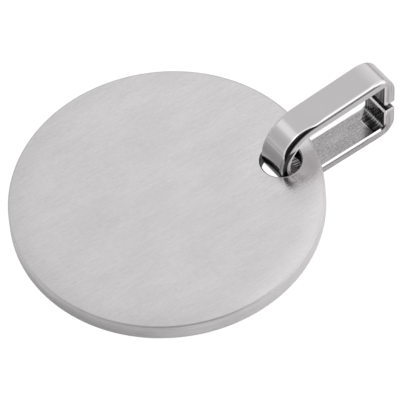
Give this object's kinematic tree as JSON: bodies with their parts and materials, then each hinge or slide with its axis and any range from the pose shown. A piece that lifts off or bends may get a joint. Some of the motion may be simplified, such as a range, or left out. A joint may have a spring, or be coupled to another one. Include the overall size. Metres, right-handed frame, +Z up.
{
  "type": "round tag pendant",
  "caption": "Flat round disc with one hole near its rim, and a tall rigid bail of flat band that passes through the hole and swings there; the pendant lies on a surface.",
  "frame": {"origin": "on the surface that the pendant lies on, under the middle of its bounding box", "axes": "+X along the bail, away from the disc; +Y across the bail, to its left when seen from above with +X ahead; +Z up from the surface"},
  "size_m": [0.0384, 0.03, 0.0085],
  "materials": {
    "brushed_disc": "fine straight brushing on the faces, satin rim",
    "polished_bail": "polished steel outside, finely brushed inside the loop"
  },
  "bodies": {
    "disc": {"disc": "brushed_disc"},
    "bail": {"bail": "polished_bail"}
  },
  "joints": [
    {"name": "bail_swing", "type": "hinge", "parent": "disc", "child": "bail", "pos_m": [0.00947, -0.00355, 0.00405], "axis": [0, -1, 0], "range_deg": [-86, 94]}
  ]
}
